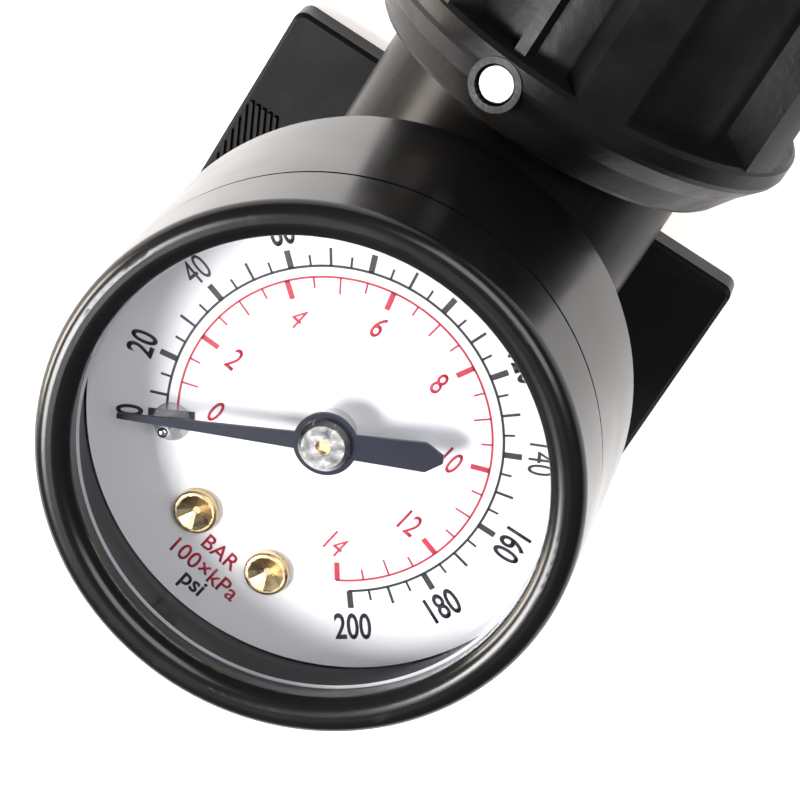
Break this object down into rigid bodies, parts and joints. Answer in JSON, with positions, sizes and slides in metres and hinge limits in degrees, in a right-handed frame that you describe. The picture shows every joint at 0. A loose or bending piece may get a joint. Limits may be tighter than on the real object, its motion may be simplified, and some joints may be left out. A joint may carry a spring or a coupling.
{
  "type": "shock suspension pump",
  "caption": "High-pressure hand pump for air suspension shocks, with a round dial gauge on its head, a bleed pin, a check valve and a sliding T-handle plunger.",
  "frame": {"origin": "underside of the rest plate, directly below the gauge's centre; the pump lies on its back", "axes": "+Z out of the dial, +Y along the barrel towards the handle, +X to the dial's right"},
  "size_m": [0.076, 0.2355, 0.058],
  "materials": {
    "moulded_black": "satin moulded nylon with fine grain",
    "gauge_black": "gloss black",
    "pointer_black": "satin blue-black",
    "clear_lens": "clear acrylic",
    "dial_white": "satin white, printed",
    "brass": "machined",
    "bright_steel": "bright machined",
    "chromed_rod": "polished",
    "black_anodised": "satin anodised",
    "rubber": "matt",
    "grip_rubber": "matt, ribbed",
    "handle_black": "satin",
    "clear_collar": "translucent",
    "white_acetal": "satin",
    "spring_steel": "bright wire"
  },
  "bodies": {
    "pump": {"pump_head": "moulded_black", "rest_plate": "moulded_black", "plate_screws": "bright_steel", "hose_port_insert": "brass", "port_seal": "rubber", "valve_seat": "white_acetal", "valve_spring": "spring_steel", "barrel_shroud": "moulded_black", "shroud_screws": "bright_steel", "bleed_spring": "spring_steel", "barrel_tube": "black_anodised", "barrel_cap": "moulded_black", "rod_bush": "white_acetal", "rod_wiper": "rubber", "gauge_case": "gauge_black", "gauge_bezel": "gauge_black", "gauge_lens": "clear_lens", "lens_gasket": "rubber", "stem_seal": "rubber", "gauge_stem": "brass", "bourdon_tube": "brass", "bourdon_tip": "brass", "movement_plate_lower": "brass", "movement_plate_upper": "brass", "movement_pillars": "brass", "movement_screws": "bright_steel", "hairspring": "spring_steel", "dial_posts": "brass", "dial_plate": "dial_white", "dial_screws": "brass", "dial_bush": "bright_steel", "zero_stop_pin": "bright_steel", "stop_pin_collar": "clear_collar"},
    "plunger": {"piston": "white_acetal", "piston_ring": "rubber", "piston_rod": "chromed_rod", "handle_body": "handle_black", "handle_screw": "bright_steel", "handle_grip_left": "grip_rubber", "handle_grip_right": "grip_rubber", "handle_end_cap_left": "handle_black", "handle_end_cap_right": "handle_black"},
    "pointer_assembly": {"pointer": "pointer_black", "pointer_hub": "bright_steel", "pinion": "brass", "hairspring_collet": "brass"},
    "sector": {"sector_gear": "brass", "sector_arbor": "bright_steel", "tail_pin": "bright_steel"},
    "link": {"bourdon_link": "brass"},
    "bleed_pin": {"bleed_button": "bright_steel", "bleed_seal": "rubber"},
    "check_valve": {"valve_poppet": "brass", "poppet_seal": "rubber"}
  },
  "joints": [
    {"name": "plunger_slide", "type": "slide", "parent": "pump", "child": "plunger", "axis": [0, 1, 0], "range_m": [0, 0.125]},
    {"name": "sector_swing", "type": "hinge", "parent": "pump", "child": "sector", "pos_m": [-0.01037, 0.00164, 0.042], "axis": [0, 0, 1], "range_deg": [0, 44]},
    {"name": "pointer_turn", "type": "hinge", "parent": "pump", "child": "pointer_assembly", "pos_m": [0, 0, 0.051], "axis": [0, 0, -1], "range_deg": [0, 264]},
    {"name": "link_turn", "type": "hinge", "parent": "sector", "child": "link", "pos_m": [-0.01277, 0.00308, 0.044], "axis": [0, 0, 1], "range_deg": [-44, 0]},
    {"name": "bleed_press", "type": "slide", "parent": "pump", "child": "bleed_pin", "axis": [0.2096, 0, -0.9778], "range_m": [0, 0.0008], "stiffness_N_per_m": 800, "deforming": ["bleed_spring"]},
    {"name": "check_valve_lift", "type": "slide", "parent": "pump", "child": "check_valve", "axis": [0, -1, 0], "range_m": [0, 0.0012], "stiffness_N_per_m": 300, "deforming": ["valve_spring"]}
  ],
  "couplings": [
    {"joint": "pointer_turn", "follows": "sector_swing", "ratio": 6},
    {"joint": "link_turn", "follows": "sector_swing", "ratio": -1}
  ]
}
